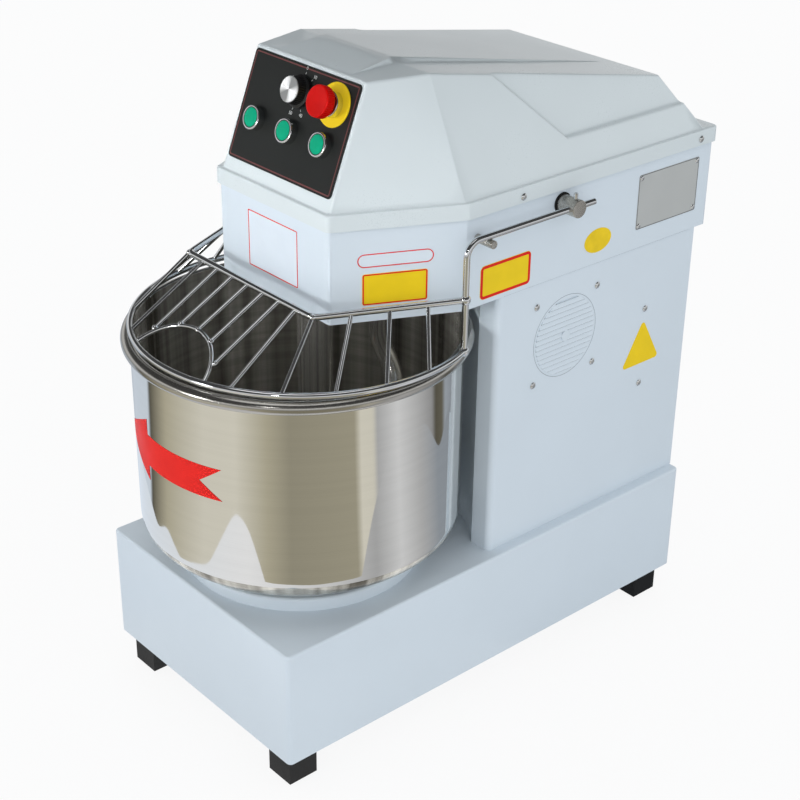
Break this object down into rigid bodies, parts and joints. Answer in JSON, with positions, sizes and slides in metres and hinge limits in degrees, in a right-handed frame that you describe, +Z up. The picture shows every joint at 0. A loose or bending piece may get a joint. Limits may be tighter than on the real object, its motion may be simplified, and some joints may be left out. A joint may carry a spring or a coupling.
{
  "type": "spiral dough mixer",
  "caption": "Spiral dough mixer with a turning stainless bowl, spiral hook, breaker bar, lifting wire guard, sloped control panel and a belt drive inside its painted column.",
  "frame": {"origin": "on the floor under the middle of the machine's box", "axes": "+Z up, -Y towards the operator, +X to the right seen from the front"},
  "size_m": [0.42, 0.7459, 0.83],
  "materials": {
    "white_paint": "smooth satin powder coat",
    "cover_shell": "moulded cover, satin gloss",
    "black_rubber": "matt black rubber",
    "polished_stainless": "polished stainless with fine spun lines",
    "satin_stainless": "bright drawn stainless",
    "bright_chrome": "bright plated",
    "steel": "turned steel",
    "cast_housing": "painted casting",
    "motor_aluminium": "cast aluminium",
    "black_plastic": "black moulded plastic",
    "green_plastic": "green moulded plastic",
    "red_plastic": "red moulded plastic",
    "yellow_plastic": "yellow disc"
  },
  "bodies": {
    "frame": {"base_bottom_plate": "white_paint", "base_housing": "white_paint", "bowl_bearing_housing": "cast_housing", "bowl_bearings": "steel", "bowl_seat_collar": "white_paint", "breaker_bar": "satin_stainless", "button_bezels": "bright_chrome", "cable_gland": "black_plastic", "column_back_panel": "white_paint", "column_housing": "white_paint", "contact_blocks": "black_plastic", "control_nuts": "steel", "control_panel": "black_plastic", "countershaft_bearing_units": "cast_housing", "drive_belts": "black_rubber", "fan_frame": "black_plastic", "fan_grille": "white_paint", "feet": "black_rubber", "guard_pivot_bushes": "black_plastic", "guard_stop_pins": "steel", "guard_switch": "black_plastic", "head_casing": "white_paint", "hook_bearing_housing": "cast_housing", "hook_bearings": "steel", "motor_housing": "motor_aluminium", "motor_mount_plate": "steel", "speed_inverter": "black_plastic", "stop_collar": "bright_chrome", "stop_legend_disc": "yellow_plastic", "timer_unit": "black_plastic", "top_cover": "cover_shell", "transmission_bearing_units": "cast_housing"},
    "bowl": {"bowl": "polished_stainless", "bowl_shaft": "steel", "bowl_pulley": "cast_housing"},
    "hook": {"spiral_hook": "satin_stainless", "hook_shaft": "steel", "hook_pulley": "cast_housing"},
    "transmission": {"transmission_shaft": "steel", "transmission_pulleys": "cast_housing"},
    "countershaft": {"countershaft": "steel", "countershaft_pulleys": "cast_housing"},
    "motor_shaft": {"motor_rotor": "steel", "motor_pulley": "cast_housing"},
    "fan": {"fan_rotor": "black_plastic"},
    "guard": {"guard_ring": "satin_stainless", "guard_frame": "satin_stainless", "guard_feed_arch": "satin_stainless", "guard_spokes": "satin_stainless", "guard_arms": "satin_stainless", "guard_pivots": "satin_stainless", "guard_set_screws": "bright_chrome"},
    "button_left": {"green_button_left": "green_plastic"},
    "button_middle": {"green_button_middle": "green_plastic"},
    "button_right": {"green_button_right": "green_plastic"},
    "stop_plunger": {"stop_stem": "steel"},
    "stop_head": {"stop_mushroom": "red_plastic"},
    "knob": {"timer_knob": "black_plastic", "timer_knob_face": "bright_chrome"}
  },
  "joints": [
    {"name": "bowl_turn", "type": "hinge", "parent": "frame", "child": "bowl", "pos_m": [0, -0.164, 0.243], "axis": [0, 0, 1], "continuous": true},
    {"name": "hook_turn", "type": "hinge", "parent": "frame", "child": "hook", "pos_m": [0, -0.04, 0.533], "axis": [0, 0, 1], "continuous": true},
    {"name": "transmission_turn", "type": "hinge", "parent": "frame", "child": "transmission", "pos_m": [0, 0.11, 0.555], "axis": [0, 0, 1], "continuous": true},
    {"name": "countershaft_turn", "type": "hinge", "parent": "frame", "child": "countershaft", "pos_m": [0.06204, -0.03, 0.138], "axis": [0, 0, 1], "continuous": true},
    {"name": "motor_turn", "type": "hinge", "parent": "frame", "child": "motor_shaft", "pos_m": [0, 0.256, 0.543], "axis": [0, 0, 1], "continuous": true},
    {"name": "fan_turn", "type": "hinge", "parent": "frame", "child": "fan", "pos_m": [0.15204, 0.1195, 0.4705], "axis": [1, 0, 0], "continuous": true},
    {"name": "guard_lift", "type": "hinge", "parent": "frame", "child": "guard", "pos_m": [0, 0.098, 0.65], "axis": [-1, 0, 0], "range_deg": [0, 70]},
    {"name": "button_left_press", "type": "slide", "parent": "frame", "child": "button_left", "axis": [0, 0.9317, -0.3631], "range_m": [0, 0.003], "stiffness_N_per_m": 800},
    {"name": "button_middle_press", "type": "slide", "parent": "frame", "child": "button_middle", "axis": [0, 0.9317, -0.3631], "range_m": [0, 0.003], "stiffness_N_per_m": 800},
    {"name": "button_right_press", "type": "slide", "parent": "frame", "child": "button_right", "axis": [0, 0.9317, -0.3631], "range_m": [0, 0.003], "stiffness_N_per_m": 800},
    {"name": "stop_press", "type": "slide", "parent": "frame", "child": "stop_plunger", "axis": [0, 0.9317, -0.3631], "range_m": [0, 0.005]},
    {"name": "stop_twist", "type": "hinge", "parent": "stop_plunger", "child": "stop_head", "pos_m": [0.06, -0.15333, 0.79136], "axis": [0, -0.9317, 0.3631], "range_deg": [-45, 0], "stiffness_Nm_per_rad": 0.05},
    {"name": "timer_turn", "type": "hinge", "parent": "frame", "child": "knob", "pos_m": [0, -0.15333, 0.79136], "axis": [0, -0.9317, 0.3631], "range_deg": [-300, 0]}
  ],
  "couplings": [
    {"joint": "countershaft_turn", "follows": "bowl_turn", "ratio": 3.6364},
    {"joint": "transmission_turn", "follows": "bowl_turn", "ratio": 13.223},
    {"joint": "motor_turn", "follows": "bowl_turn", "ratio": 42.314},
    {"joint": "hook_turn", "follows": "bowl_turn", "ratio": 9.1545}
  ]
}
